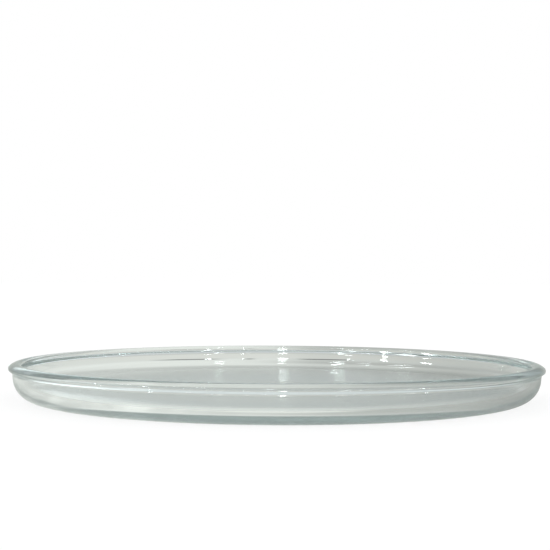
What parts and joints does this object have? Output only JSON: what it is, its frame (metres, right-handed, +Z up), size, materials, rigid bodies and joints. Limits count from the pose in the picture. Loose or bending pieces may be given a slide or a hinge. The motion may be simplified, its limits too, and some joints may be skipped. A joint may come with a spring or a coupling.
{
  "type": "evaporating dish",
  "caption": "Wide shallow round dish of clear faintly green pressed glass, with a flat floor, a curved shoulder, a short wall and a rounded rim that stands slightly out past the wall.",
  "frame": {"origin": "centre of the flat underside, on the axis of the dish", "axes": "+Z up along the dish's axis, out of its open side; the dish is round, so X and Y are any two directions across it"},
  "size_m": [0.25, 0.25, 0.017],
  "materials": {
    "glass": "clear soda-lime glass with a faint green tint, fire-polished"
  },
  "bodies": {
    "root": {"dish": "glass"}
  },
  "joints": []
}
